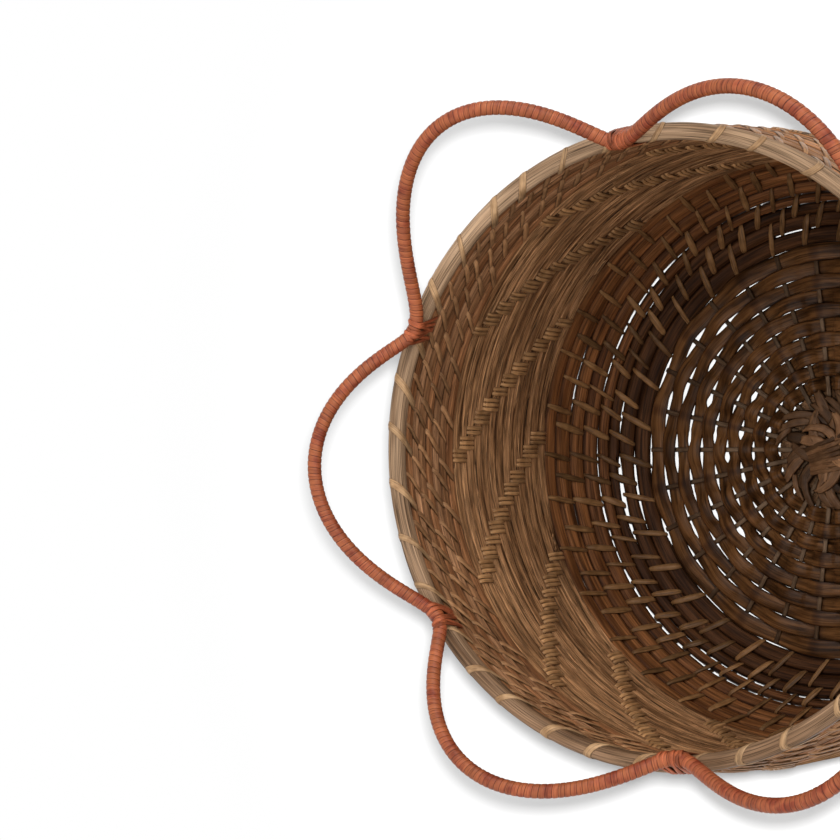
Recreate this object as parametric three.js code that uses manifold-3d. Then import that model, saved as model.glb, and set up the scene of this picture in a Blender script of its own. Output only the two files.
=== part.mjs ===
// A round coiled basket with a woven base, a thick rim and six wrapped petal loops lashed to the rim.
// Millimetres, +Z up. The origin is the centre of the circle that the basket stands on.

import * as THREE from "three";
import { ConvexGeometry } from "three/addons/geometries/ConvexGeometry.js";
import { mergeVertices } from "three/addons/utils/BufferGeometryUtils.js";
import Module from "manifold-3d";

const wasm = await Module();
wasm.setup();

// Space left between pieces that touch.
const clearance = 0.3;

// Wall, given by the line through the middle of its thickness.
const footRadius = 137;
const footHeight = 0.9;
const bellyRadius = 186.5;
const bellyHeight = 134;
const footRoundness = 5.7;
const shoulderRadius = 175.5;
const shoulderHeight = 247;
const wallThickness = 6;

// The wall's three bands of coils, from the base up.
const lowerBandTop = 66;
const steppedBandTop = 181;
const lowerCoilShares = [11, 10, 7.5, 7.5, 11, 10.5, 13.5, 12];
const steppedCoilCount = 13;
const upperCoilCount = 7;

// Rim hoop: a thick bundle on top of the wall, centred on the wall's middle line.
const rimThickness = 9.5;
const rimTall = 10;
const rimChamfer = 2.5;

// Base: flat spokes, flat strips woven over and under them, and the binding at the centre.
const spokeCount = 30;
const spokeWidth = 3;
const spokeThickness = 2;
const weaverCount = 10;
const weaverThickness = 1.4;
const weaverSpacing = 0.6;
const centreRadius = 39.5;
const centreRise = 4.5;

// Petal loops: rods that reach out and up, along the tilt in degrees, between neighbouring lashings. Each
// was bent by hand: it has its own share of the size, and a lean that moves its peak towards its start.
const petalSize = 50;
const petalShapes = [
  { sizeShare: 0.88, lean: 0.12 },
  { sizeShare: 1.18, lean: 0.27 },
  { sizeShare: 0.96, lean: 0.12 },
  { sizeShare: 0.95, lean: 0.18 },
  { sizeShare: 1.18, lean: -0.05 },
  { sizeShare: 1, lean: 0.1 },
];
const petalTilt = 45;
const petalElbowRadius = 12;

// How far inside the rim's middle line the rods rest on it.
const petalInset = 4.2;
const rodRadius = 4.25;

// Lashings: bands of peel round the rods, the rim and the highest coil.
const lashingWidth = 14;
const lashingThickness = 1.2;

// Facets of the round pieces.
const coilSides = 24;
const rimSides = 48;
const rodSides = 6;
const rodSteps = 36;
const stepsPerSpoke = 2;
const lashingSides = 12;

const fullTurn = 2 * Math.PI;

// Turns a closed geometry into a solid that can be joined and cut.
function toSolid(geometry) {
  const bare = geometry.clone();
  bare.deleteAttribute("normal");
  bare.deleteAttribute("uv");
  const merged = mergeVertices(bare, 1e-4);
  return new wasm.Manifold(
    new wasm.Mesh({
      numProp: 3,
      vertProperties: merged.getAttribute("position").array,
      triVerts: new Uint32Array(merged.index.array),
    }),
  );
}

function toGeometry(solid) {
  const { vertProperties, numProp, triVerts } = solid.getMesh();
  const geometry = new THREE.BufferGeometry();
  geometry.setAttribute("position", new THREE.BufferAttribute(vertProperties, numProp));
  geometry.setIndex(new THREE.BufferAttribute(triVerts, 1));
  geometry.computeVertexNormals();
  return geometry;
}

// The ring swept by a closed section of [radius, height] points, which runs anticlockwise.
function ringGeometry(section, sides) {
  const geometry = new THREE.LatheGeometry([...section, section[0]], sides);
  geometry.rotateX(Math.PI / 2);
  return geometry;
}

// The middle line of the wall: x is the radius and y the height.
class WallLine extends THREE.Curve {
  getPoint(t, target = new THREE.Vector2()) {
    const height = THREE.MathUtils.lerp(footHeight, shoulderHeight, t);
    if (height < bellyHeight) {
      const left = (bellyHeight - height) / (bellyHeight - footHeight);
      const radius = bellyRadius - (bellyRadius - footRadius) * left ** footRoundness;
      return target.set(radius, height);
    }
    const past = (height - bellyHeight) / (shoulderHeight - bellyHeight);
    return target.set(bellyRadius - (bellyRadius - shoulderRadius) * past ** 2, height);
  }
}

const wallLine = new WallLine();
wallLine.arcLengthDivisions = 600;
const wallLength = wallLine.getLength();

// The length of the wall line below a height.
function lengthBelow(height) {
  const t = (height - footHeight) / (shoulderHeight - footHeight);
  const lengths = wallLine.getLengths();
  const place = t * (lengths.length - 1);
  const before = Math.floor(place);
  return THREE.MathUtils.lerp(lengths[before], lengths[before + 1], place - before);
}

// A point a given way along the wall line and a given way out from it.
function wallPoint(along, outward) {
  const u = along / wallLength;
  const point = wallLine.getPointAt(u);
  const tangent = wallLine.getTangentAt(u);
  return point.add(new THREE.Vector2(tangent.y, -tangent.x).multiplyScalar(outward));
}

// The six-sided section of the coil between two lengths along the wall line. Neighbouring coils meet
// face to face, and each bulges to the wall's full thickness halfway.
function coilSection(start, end) {
  const low = start + clearance / 2;
  const high = end - clearance / 2;
  const middle = (start + end) / 2;
  const face = wallThickness / 4;
  const bulge = wallThickness / 2;
  return [
    wallPoint(low, face),
    wallPoint(middle, bulge),
    wallPoint(high, face),
    wallPoint(high, -face),
    wallPoint(middle, -bulge),
    wallPoint(low, -face),
  ];
}

// The sections of one band's coils, whose heights follow the shares.
function bandSections(start, end, shares) {
  const total = shares.reduce((sum, share) => sum + share, 0);
  let edge = start;
  return shares.map((share) => {
    const next = edge + ((end - start) * share) / total;
    const section = coilSection(edge, next);
    edge = next;
    return section;
  });
}

const lowerEnd = lengthBelow(lowerBandTop);
const steppedEnd = lengthBelow(steppedBandTop);
const lowerSections = bandSections(0, lowerEnd, lowerCoilShares);
const steppedSections = bandSections(lowerEnd, steppedEnd, Array(steppedCoilCount).fill(1));
const upperSections = bandSections(steppedEnd, wallLength, Array(upperCoilCount).fill(1));
const highestSection = upperSections[upperCoilCount - 1];

// The rim hoop stands on the highest coil.
const rimOuter = shoulderRadius + rimThickness / 2;
const rimInner = shoulderRadius - rimThickness / 2;
const rimBottom = Math.max(...highestSection.map((point) => point.y)) + clearance;
const rimTop = rimBottom + rimTall;

const rimSection = [
  new THREE.Vector2(rimInner + rimChamfer, rimBottom),
  new THREE.Vector2(rimOuter - rimChamfer, rimBottom),
  new THREE.Vector2(rimOuter, rimBottom + rimChamfer),
  new THREE.Vector2(rimOuter, rimTop - rimChamfer),
  new THREE.Vector2(rimOuter - rimChamfer, rimTop),
  new THREE.Vector2(rimInner + rimChamfer, rimTop),
  new THREE.Vector2(rimInner, rimTop - rimChamfer),
  new THREE.Vector2(rimInner, rimBottom + rimChamfer),
];

// The base fills the circle inside the lowest coil's facets.
const footInner = Math.min(...lowerSections[0].map((point) => point.x));
const baseRadius = footInner * Math.cos(Math.PI / coilSides) - clearance;
const weaverPitch = (baseRadius - centreRadius) / weaverCount;

// How far a woven strip swings up and down to clear the edges of the spokes that it passes.
function weaverSwing(innerRadius) {
  const spokeSpacing = (fullTurn * innerRadius) / spokeCount;
  const lift = spokeThickness / 2 + clearance + weaverThickness / 2;
  return lift / (1 - spokeWidth / spokeSpacing);
}

const spokeHeight = weaverSwing(centreRadius) + weaverThickness / 2;

// All spokes as one star: their sides meet between neighbours near the centre.
function spokesGeometry() {
  const outline = [];
  const valleyRadius = spokeWidth / 2 / Math.sin(Math.PI / spokeCount);
  const tipHalfAngle = Math.asin(spokeWidth / 2 / baseRadius);
  for (let spoke = 0; spoke < spokeCount; spoke++) {
    const angle = (spoke * fullTurn) / spokeCount;
    const corners = [
      [baseRadius, angle - tipHalfAngle],
      [baseRadius, angle + tipHalfAngle],
      [valleyRadius, angle + Math.PI / spokeCount],
    ];
    for (const [radius, turn] of corners) {
      outline.push(new THREE.Vector2(radius * Math.cos(turn), radius * Math.sin(turn)));
    }
  }
  const geometry = new THREE.ExtrudeGeometry(new THREE.Shape(outline), {
    depth: spokeThickness,
    bevelEnabled: false,
  });
  geometry.translate(0, 0, spokeHeight - spokeThickness / 2);
  return geometry;
}

// One flat strip woven round the base, over one spoke and under the next.
function weaverGeometry(row) {
  const inner = centreRadius + row * weaverPitch;
  const outer = inner + weaverPitch - weaverSpacing;
  const swing = weaverSwing(inner) * (row % 2 ? -1 : 1);
  const steps = spokeCount * stepsPerSpoke;
  const positions = [];
  const indices = [];
  for (let step = 0; step < steps; step++) {
    const angle = (step * fullTurn) / steps;
    const height = spokeHeight + swing * Math.cos((angle * spokeCount) / 2);
    const corners = [
      [inner, height - weaverThickness / 2],
      [outer, height - weaverThickness / 2],
      [outer, height + weaverThickness / 2],
      [inner, height + weaverThickness / 2],
    ];
    for (const [radius, z] of corners) {
      positions.push(radius * Math.cos(angle), radius * Math.sin(angle), z);
    }
    const here = step * corners.length;
    const there = ((step + 1) % steps) * corners.length;
    for (let corner = 0; corner < corners.length; corner++) {
      const next = (corner + 1) % corners.length;
      indices.push(here + corner, there + next, here + next);
      indices.push(here + corner, there + corner, there + next);
    }
  }
  const geometry = new THREE.BufferGeometry();
  geometry.setAttribute("position", new THREE.Float32BufferAttribute(positions, 3));
  geometry.setIndex(indices);
  geometry.computeVertexNormals();
  return geometry;
}

// The binding over the crossed spokes: a low dome on top of them.
function upperBindingGeometry() {
  const radius = centreRadius - clearance;
  const seat = spokeHeight + spokeThickness / 2 + clearance;
  const profile = [
    new THREE.Vector2(0, seat),
    new THREE.Vector2(radius, seat),
    new THREE.Vector2(radius, seat + centreRise / 3),
    new THREE.Vector2(radius / 2, seat + centreRise),
    new THREE.Vector2(0, seat + centreRise),
  ];
  return new THREE.LatheGeometry(profile, coilSides).rotateX(Math.PI / 2);
}

// The binding under the crossed spokes: a flat disc that reaches the floor.
function lowerBindingGeometry() {
  const radius = centreRadius - clearance;
  const top = spokeHeight - spokeThickness / 2 - clearance;
  const profile = [
    new THREE.Vector2(0, 0),
    new THREE.Vector2(radius, 0),
    new THREE.Vector2(radius, top),
    new THREE.Vector2(0, top),
  ];
  return new THREE.LatheGeometry(profile, coilSides).rotateX(Math.PI / 2);
}

// The lowest coil, cut flat where the basket stands on it.
function footCoilGeometry() {
  const depth = wallThickness;
  const ground = new THREE.CylinderGeometry(bellyRadius, bellyRadius, depth, coilSides);
  ground.rotateX(Math.PI / 2);
  ground.translate(0, 0, -depth / 2);
  return toGeometry(toSolid(ringGeometry(lowerSections[0], coilSides)).subtract(toSolid(ground)));
}

const petalCount = petalShapes.length;
const petalAngle = fullTurn / petalCount;
const petalSeatRadius = shoulderRadius - petalInset;
const petalSeatHeight = rimTop + clearance + rodRadius;

// A point on a rod's middle line, by the share of the way from one lashing to the next. The line rounds
// each elbow and runs level along the rim there.
function petalPoint(petal, share) {
  const { sizeShare, lean } = petalShapes[petal];
  const size = petalSize * sizeShare;
  const slope = (Math.PI * size) / (petalAngle * petalSeatRadius);
  const rounding = slope ** 2 * petalElbowRadius;
  const bow = Math.sin(Math.PI * share * (1 + lean * (1 - share)));
  const grown = (Math.hypot(bow * size, rounding) - rounding) / (Math.hypot(size, rounding) - rounding);
  const tilt = THREE.MathUtils.degToRad(petalTilt);
  return {
    angle: share * petalAngle,
    radius: petalSeatRadius + size * grown * Math.cos(tilt),
    height: petalSeatHeight + size * grown * Math.sin(tilt),
  };
}

class PetalLine extends THREE.Curve {
  constructor(petal) {
    super();
    this.petal = petal;
  }

  getPoint(t, target = new THREE.Vector3()) {
    const endShare = clearance / 2 / (petalSeatRadius * petalAngle);
    const share = THREE.MathUtils.lerp(endShare, 1 - endShare, t);
    const { angle, radius, height } = petalPoint(this.petal, share);
    return target.set(radius * Math.cos(angle), radius * Math.sin(angle), height);
  }
}

function polygonShape(radius, sides) {
  const corners = [];
  for (let side = 0; side < sides; side++) {
    const angle = (side * fullTurn) / sides;
    corners.push(new THREE.Vector2(radius * Math.cos(angle), radius * Math.sin(angle)));
  }
  return new THREE.Shape(corners);
}

function rodGeometry(petal) {
  return new THREE.ExtrudeGeometry(polygonShape(rodRadius, rodSides), {
    steps: rodSteps,
    extrudePath: new PetalLine(petal),
    bevelEnabled: false,
  });
}

// The convex block, at angle 0, that holds the rods, the rim and the highest coil at one lashing with
// some space round them. It allows for the facets of the rings and the rise of the rods to its edges.
function lashingBlock(lashing, space, width) {
  const halfWidth = lashingWidth / 2;
  const outline = [];
  const addCircle = (x, z, radius) => {
    for (let side = 0; side < lashingSides; side++) {
      const angle = (side * fullTurn) / lashingSides;
      outline.push([x + radius * Math.cos(angle), z + radius * Math.sin(angle)]);
    }
  };
  for (const [section, sides] of [
    [rimSection, rimSides],
    [highestSection, coilSides],
  ]) {
    const facetDip = halfWidth * Math.tan(Math.PI / sides);
    for (const point of section) {
      addCircle(point.x, point.y, space);
      addCircle(point.x - facetDip, point.y, space);
    }
  }
  const slantedEdge = halfWidth + rodRadius / 2;
  const edgeShare = Math.atan(slantedEdge / petalSeatRadius) / petalAngle;
  const previous = (lashing + petalCount - 1) % petalCount;
  for (const [petal, share] of [
    [lashing, 0],
    [lashing, edgeShare],
    [previous, 1 - edgeShare],
  ]) {
    const { angle, radius, height } = petalPoint(petal, share);
    addCircle(radius * Math.cos(angle - Math.round(share) * petalAngle), height, rodRadius + space);
  }
  const points = [];
  for (const [x, z] of outline) {
    points.push(new THREE.Vector3(x, -width / 2, z), new THREE.Vector3(x, width / 2, z));
  }
  return toSolid(new ConvexGeometry(points));
}

function lashingGeometry(lashing) {
  const outside = lashingBlock(lashing, clearance + lashingThickness, lashingWidth);
  const inside = lashingBlock(lashing, clearance, 2 * lashingWidth);
  return toGeometry(outside.subtract(inside));
}

// The coil under the highest one, notched where the lashings pass between the two.
function notchedCoilGeometry() {
  let solid = toSolid(ringGeometry(upperSections[upperCoilCount - 2], coilSides));
  const reach = 2 * clearance + lashingThickness;
  for (let lashing = 0; lashing < petalCount; lashing++) {
    const notch = lashingBlock(lashing, reach, lashingWidth + 2 * clearance);
    solid = solid.subtract(notch.rotate([0, 0, (lashing * 360) / petalCount]));
  }
  return toGeometry(solid);
}

function rattan(color, roughness) {
  return new THREE.MeshStandardMaterial({ color, roughness, metalness: 0 });
}

const looks = {
  spokes: () => rattan(0x7b6a52, 0.7),
  weavers: () => rattan(0x5e432b, 0.65),
  centre: () => rattan(0x7d6244, 0.7),
  lowerCoils: () => rattan(0x6a4b30, 0.65),
  steppedCoils: () => rattan(0x957350, 0.7),
  upperCoils: () => rattan(0x875f40, 0.65),
  rim: () => rattan(0xa48763, 0.6),
  rods: () => rattan(0xb65c3f, 0.45),
  lashings: () => rattan(0xa8543a, 0.5),
};

const basket = new THREE.Group();

function addPiece(parent, name, geometry, look) {
  const mesh = new THREE.Mesh(geometry, look());
  mesh.name = name;
  parent.add(mesh);
}

function numbered(name, index) {
  return name + "_" + String(index + 1).padStart(2, "0");
}

const base = new THREE.Group();
basket.add(base);
addPiece(base, "base_spokes", spokesGeometry(), looks.spokes);
addPiece(base, "centre_binding_upper", upperBindingGeometry(), looks.centre);
addPiece(base, "centre_binding_lower", lowerBindingGeometry(), looks.centre);
for (let row = 0; row < weaverCount; row++) {
  addPiece(base, numbered("base_weaver", row), weaverGeometry(row), looks.weavers);
}

const wall = new THREE.Group();
basket.add(wall);
lowerSections.forEach((section, index) => {
  const geometry = index === 0 ? footCoilGeometry() : ringGeometry(section, coilSides);
  addPiece(wall, numbered("lower_coil", index), geometry, looks.lowerCoils);
});
steppedSections.forEach((section, index) => {
  addPiece(wall, numbered("stepped_coil", index), ringGeometry(section, coilSides), looks.steppedCoils);
});
upperSections.forEach((section, index) => {
  const notched = index === upperCoilCount - 2;
  const geometry = notched ? notchedCoilGeometry() : ringGeometry(section, coilSides);
  addPiece(wall, numbered("upper_coil", index), geometry, looks.upperCoils);
});
addPiece(wall, "rim_hoop", ringGeometry(rimSection, rimSides), looks.rim);

const petals = new THREE.Group();
basket.add(petals);
for (let petal = 0; petal < petalCount; petal++) {
  const place = new THREE.Group();
  place.rotation.z = petal * petalAngle;
  petals.add(place);
  addPiece(place, numbered("petal_rod", petal), rodGeometry(petal), looks.rods);
  addPiece(place, numbered("petal_lashing", petal), lashingGeometry(petal), looks.lashings);
}

export default basket;
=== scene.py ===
"""A coiled basket with a woven base, a thick rim and wrapped petal loops, dressed for rendering."""

import functools
import math

import bmesh
import bpy
import numpy as np
from mathutils import Matrix, Vector


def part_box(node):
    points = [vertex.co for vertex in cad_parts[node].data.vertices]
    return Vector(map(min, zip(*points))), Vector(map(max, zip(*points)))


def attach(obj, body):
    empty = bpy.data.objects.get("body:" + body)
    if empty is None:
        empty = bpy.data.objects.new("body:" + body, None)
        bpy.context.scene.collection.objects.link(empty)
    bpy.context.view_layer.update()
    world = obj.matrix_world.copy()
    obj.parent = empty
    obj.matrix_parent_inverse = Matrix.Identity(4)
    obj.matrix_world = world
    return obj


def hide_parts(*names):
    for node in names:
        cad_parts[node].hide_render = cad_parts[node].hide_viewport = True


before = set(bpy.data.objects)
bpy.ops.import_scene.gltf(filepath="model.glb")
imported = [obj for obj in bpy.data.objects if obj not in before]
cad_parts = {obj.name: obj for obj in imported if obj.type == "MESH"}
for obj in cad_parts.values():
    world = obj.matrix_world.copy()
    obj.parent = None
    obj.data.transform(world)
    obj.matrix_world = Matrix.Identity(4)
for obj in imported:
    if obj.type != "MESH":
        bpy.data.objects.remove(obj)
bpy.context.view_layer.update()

bl_info = {
    "name": "Coiled Petal Basket",
    "version": (1, 0, 0),
    "blender": (4, 5, 0),
    "location": "3D Viewport > Sidebar > Basket",
    "description": "Dresses the solids of a coiled basket with strands, stitches, weaving and wrapped loops",
    "category": "Add Mesh",
}

MM = 0.001
TURN = 2 * math.pi

# The basket's +X is turned this far from the side that faces the camera.
FACING = math.radians(38)

# Between two lashings and between two sticks of the base, where each solid has its plain section.
PLAIN_AZIMUTH = math.radians(30)


def numbered(name, count):
    """The names of a row of like nodes."""
    return [f"{name}_{index:02d}" for index in range(1, count + 1)]


LOWER = numbered("lower_coil", 8)
STEPPED = numbered("stepped_coil", 13)
UPPER = numbered("upper_coil", 7)
COILS = LOWER + STEPPED + UPPER
WEAVERS = numbered("base_weaver", 10)
RODS = numbered("petal_rod", 6)
LASHINGS = numbered("petal_lashing", 6)

# Daylight between coils: for the line above each coil, counted from the foot with the line under the
# lowest one as 0, the stretches in degrees round from the camera's side and how wide they open in
# millimetres.
DAYLIGHT = {
    0: ((258, 214, 0.7), (211, 202, 2.2), (198, 176, 2.4), (172, 148, 1.6)),
    1: ((204, 182, 1.8), (110, 95, 1.5)),
    2: ((206, 184, 3.4), (178, 168, 1.6)),
    3: ((292, 222, 1.9), (150, 138, 1.2)),
    4: ((304, 174, 2.4), (168, 122, 3.6)),
    6: ((202, 191, 1.6), (178, 155, 2.4)),
    7: ((216, 207, 2.0), (192, 186, 1.8)),
    8: ((206, 194, 1.5), (180, 165, 1.8), (141, 127, 2.4)),
}

# Holes beside the sticks of the base: the line inside each woven strip, counted from the centre, with the
# same degrees and millimetres. The line outside the last strip is the lowest one of the wall.
BASE_HOLES = {
    1: ((233, 225, 1.6), (197, 191, 1.6), (151, 144, 1.6)),
    2: ((246, 239, 1.8), (207, 200, 2.2), (169, 163, 1.8)),
    3: ((215, 208, 1.8), (191, 185, 2.3), (129, 123, 1.6)),
    4: ((228, 221, 1.8), (202, 196, 3.0), (177, 170, 2.8), (156, 147, 2.2)),
    5: ((238, 232, 1.6), (189, 183, 2.0), (143, 135, 1.6)),
    6: ((225, 217, 2.8), (205, 199, 1.6), (181, 174, 3.4), (163, 158, 1.8)),
    7: ((212, 206, 1.6), (198, 184, 2.7), (165, 160, 2.6), (148, 141, 1.6)),
    8: ((230, 222, 1.5), (207, 198, 3.6), (183, 175, 3.2), (153, 146, 2.2)),
    9: ((216, 209, 2.0), (193, 184, 2.2), (170, 158, 2.2), (140, 132, 1.5)),
    10: ((209, 200, 1.8), (190, 180, 2.4), (168, 161, 1.8), (152, 140, 1.6)),
    11: DAYLIGHT[0],
}

# Rows of stitches: how many go round, where the first one tops out in degrees round from the camera's
# side, how much further round each lower row starts, and how far round one stitch slants.
UPPER_COUNT = 36
UPPER_FIRST = 196.8
UPPER_SHIFT = -2.65
UPPER_SLANT = math.radians(4.6)
TIE_COUNT = 36
TIE_FIRST = 199.0
TIE_SLANT = math.radians(5.4)
STEP_COUNT = 14
STEP_FIRST = 208.5
STEP_SHIFT = -2.65
LOWER_COUNT = 34
LOWER_FIRST = (235.4, 240.7)

# Sticks of the base, turns of a lashing, and the millimetres from one turn of a lashing to the next.
SPOKES = 30
LASHING_TURNS = 7
LASHING_SPACING = 1.95

# Petal loops as the hand bent them: the size in millimetres along the tilt, and the lean of the peak.
# The elbow, in millimetres too, is how round a rod bends where it leaves a lashing.
PETALS = ((44, 0.12), (59, 0.27), (48, 0.12), (47.5, 0.18), (59, -0.05), (50, 0.1))
PETAL_TILT = math.radians(45)
PETAL_ELBOW = 12

# Where the middle line of a rod lies at a lashing: above the top of the rim and inside its middle.
PETAL_SEAT_LIFT = 4.55 * MM
PETAL_INSET = 4.2 * MM

# Where the random draws of each kind of piece start; most pieces add a number of their own.
SEED_RIM = 7
SEED_DAYLIGHT = 39
SEED_HEIGHT = 60
SEED_DEPTH = 80
SEED_STRANDS = 100
SEED_UPPER = 200
SEED_TIES = 210
SEED_UPPER_WIDTHS = 220
SEED_STEPS = 300
SEED_STEP_SLIPS = 320
SEED_LOWER = 400
SEED_LOWER_WIDTHS = 420
SEED_BASE_HOLES = 500
SEED_BASE_BENDS = 520
SEED_BASE_FOLDS = 540
SEED_LASHINGS = 600
SEED_CENTRE_FOLDS = 699

# Templates of rings and straps lie round the axis at this radius, far larger than their section, and a
# ring has this many steps.
TEMPLATE_RADIUS = 10
RING_STEPS = 480

# How far the section of the rim is squared off: 1 would be an ellipse.
RIM_SQUARENESS = 0.82

# Stations round one stitch, one tie, one fold of the centre and one turn of a lashing.
STITCH_STATIONS = 12
TIE_STATIONS = 16
FOLD_STATIONS = 20
LASHING_STATIONS = 24

# Sections of a strip, as (across, outward) corners in half widths and thicknesses: shaved flat, folded
# lengthwise into two ridges, and left plump.
SHAVED = ((-1, -0.5), (1, -0.5), (0.9, 0.35), (0, 0.85), (-0.9, 0.35))
FOLDED = ((-1, -0.5), (1, -0.5), (0.6, 1), (0, 0.1), (-0.6, 1))
PLUMP = ((-0.95, -0.6), (0.95, -0.6), (0.85, 0.55), (0, 0.85), (-0.85, 0.55))

# The camera, from the ellipses of the rim and the base: the rim's centre shows at this place of a
# picture 840 wide and high.
PICTURE = 840
RIM_CENTRE_SHOWN = (653.8, 446.6)
RIM_HEIGHT = 254.2 * MM
VIEW_ELEVATION = math.radians(55.6)
VIEW_ROLL = math.radians(-1.89)
VIEW_DISTANCE = 1.1672
LENS = 90
SENSOR = 36


def linear(code):
    """The linear colour of an sRGB hex code."""
    levels = [(code >> shift & 255) / 255 for shift in (16, 8, 0)]
    return tuple(c / 12.92 if c <= 0.04045 else ((c + 0.055) / 1.055) ** 2.4 for c in levels) + (1.0,)


def length(name, description, default, smallest):
    """A size property in metres."""
    return bpy.props.FloatProperty(
        name=name, description=description, default=default, unit="LENGTH", min=smallest
    )


def colour(name, description, code):
    """A colour property, given by its sRGB hex code."""
    return bpy.props.FloatVectorProperty(
        name=name, description=description, default=linear(code), size=4, subtype="COLOR", min=0, max=1
    )


class BasketSizes(bpy.types.PropertyGroup):
    """Sizes of the strands, strips and turns that cover the basket."""

    peel_thickness: length("Peel thickness", "Thickness of the stitching peel", 0.6 * MM, 0.1 * MM)
    stitch_width: length("Stitch width", "Width of a stitch on the upper wall", 3.9 * MM, 0.5 * MM)
    lower_width: length("Lower stitch width", "Width of a stitch on the lower wall", 4.1 * MM, 0.5 * MM)
    tie_width: length("Tie width", "Width of a tie over the rim", 5.3 * MM, 0.5 * MM)
    step_strand: length("Step strand", "Width of one strand of a step", 3.0 * MM, 0.5 * MM)
    turn_pitch: length("Turn pitch", "Width of one turn round a petal rod", 3.4 * MM, 0.5 * MM)
    rod_radius: length("Rod radius", "Radius of a wrapped petal rod", 4.25 * MM, 1.0 * MM)
    lashing_width: length("Lashing strip", "Width of one turn of a lashing", 2.5 * MM, 0.5 * MM)


class BasketColours(bpy.types.PropertyGroup):
    """Colours of the rattan in its different cuts and dyes."""

    rim: colour("Rim", "Smooth pale strands of the rim", 0x977B60)
    upper: colour("Upper coils", "Reddish strands below the rim", 0x9E6F4B)
    stepped: colour("Stepped coils", "Pale split strands of the broad band", 0xA17650)
    lower: colour("Lower coils", "Dark strands above the base", 0x754B2B)
    tie: colour("Ties", "Pale peel of the ties over the rim", 0xAE8B66)
    stitch: colour("Stitches", "Brown peel of the upper stitches", 0xA47A55)
    step: colour("Steps", "Golden strands of the steps", 0xAC8258)
    lower_stitch: colour("Lower stitches", "Duller peel of the lower stitches", 0x83603D)
    weaver: colour("Base weave", "Dark flat strips of the base", 0x5F3F23)
    spoke: colour("Spokes", "Grey brown sticks of the base", 0x705B47)
    knot: colour("Centre", "Tan folded strips at the centre", 0x77573C)
    peel: colour("Petal peel", "Terracotta peel round the petal rods", 0xA15637)
    floor: colour("Floor", "Plain floor and background", 0xFFFFFF)


def wrapped(angle):
    """The same angle, from minus to plus half a turn."""
    return (angle + math.pi) % TURN - math.pi


def from_camera(degrees):
    """An azimuth of the basket, from degrees round from the camera's side."""
    return math.radians(degrees) - FACING


def signed_power(values, power):
    """A power that keeps the sign: below 1 it squares off the rounds of a circle."""
    return np.sign(values) * np.abs(values) ** power


def ring_section(node, azimuth):
    """The (radius, height) corners of a ring at one azimuth, from its solid."""
    corners = set()
    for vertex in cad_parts[node].data.vertices:
        x, y, z = vertex.co
        if abs(wrapped(math.atan2(y, x) - azimuth)) < 1e-3:
            corners.add((round(math.hypot(x, y), 6), round(z, 6)))
    if len(corners) < 4:
        raise RuntimeError(f"{node} has no section at {math.degrees(azimuth):.0f} degrees")
    return np.array(sorted(corners))


class Row:
    """One coil of the wall: its middle, its direction up the wall and its half sizes."""

    def __init__(self, corners, along):
        self.along = along
        self.outward = np.array((along[1], -along[0]))
        heights = corners @ self.along
        depths = corners @ self.outward
        self.half = (heights.max() - heights.min()) / 2
        self.thick = (depths.max() - depths.min()) / 2
        middle_height = (heights.max() + heights.min()) / 2
        middle_depth = (depths.max() + depths.min()) / 2
        self.middle = middle_height * self.along + middle_depth * self.outward

    def outline(self, swell):
        """Points round the section, swollen by a length."""
        turns = np.arange(16) * TURN / 16
        up = signed_power(np.cos(turns), 0.8) * (self.half + swell / 2)
        out = signed_power(np.sin(turns), 0.8) * (self.thick + swell)
        return self.middle + up[:, None] * self.along + out[:, None] * self.outward


def wall_rows():
    """The rows of the wall, from the foot up."""
    sections = [ring_section(node, PLAIN_AZIMUTH) for node in COILS]
    middles = [section.mean(axis=0) for section in sections]
    rows = []
    for index, section in enumerate(sections):
        before = middles[max(index - 1, 0)]
        after = middles[min(index + 1, len(middles) - 1)]
        rows.append(Row(section, (after - before) / np.linalg.norm(after - before)))
    return rows


rows = wall_rows()
rim_corners = ring_section("rim_hoop", PLAIN_AZIMUTH)
rim_low, rim_high = rim_corners.min(axis=0), rim_corners.max(axis=0)


def rim_outline(swell):
    """Points round the rounded section of the rim, swollen by a length."""
    turns = np.arange(24) * TURN / 24
    around = signed_power(np.stack([np.cos(turns), np.sin(turns)], axis=1), RIM_SQUARENESS)
    return (rim_low + rim_high) / 2 + around * ((rim_high - rim_low) / 2 + swell)


def jitter(seed, count, size):
    """Small repeatable differences, as handwork has."""
    return np.random.default_rng(seed).uniform(-size, size, count)


def drift(azimuths, seed, counts=(3, 7, 13, 23)):
    """A smooth, repeatable wander round the basket, of about one unit either way."""
    phases = np.random.default_rng(seed).uniform(0, TURN, len(counts))
    waves = [np.sin(count * azimuths + phase) for count, phase in zip(counts, phases)]
    return sum(waves) / math.sqrt(len(counts))


def wandering(azimuths, phases, counts):
    """How each strand strays on its way round: waves, so many a round, with the phases of its strand."""
    return sum(np.sin(count * azimuths + phases[:, place]) for place, count in enumerate(counts))


def openings(azimuths, lines, line, seed):
    """How wide a line between two pieces opens, in metres, from its stretches; the far side repeats them."""
    width = np.zeros_like(azimuths)
    unevenness = 0.9 + 0.2 * drift(azimuths, seed + line, (13, 23, 37))
    chance = np.random.default_rng(seed + line)
    for start, end, opening in lines.get(line, ()):
        opening = opening * chance.uniform(0.6, 1.2)
        for turned in (0, math.pi):
            middle = from_camera((start + end) / 2) + turned
            reach = 1.15 * math.radians(abs(start - end)) / 2
            away = np.abs(wrapped(azimuths - middle)) / reach
            width = np.maximum(width, opening * MM * np.clip(1 - away ** 1.6, 0, 1))
    return width * unevenness


def mesh_of(bm, name):
    """The mesh of a finished bmesh."""
    mesh = bpy.data.meshes.new(name)
    bm.to_mesh(mesh)
    bm.free()
    return mesh


def spots_of(mesh):
    """The places of a mesh's vertices, one in each row."""
    spots = np.empty(len(mesh.vertices) * 3)
    mesh.vertices.foreach_get("co", spots)
    return spots.reshape(-1, 3)


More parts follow.
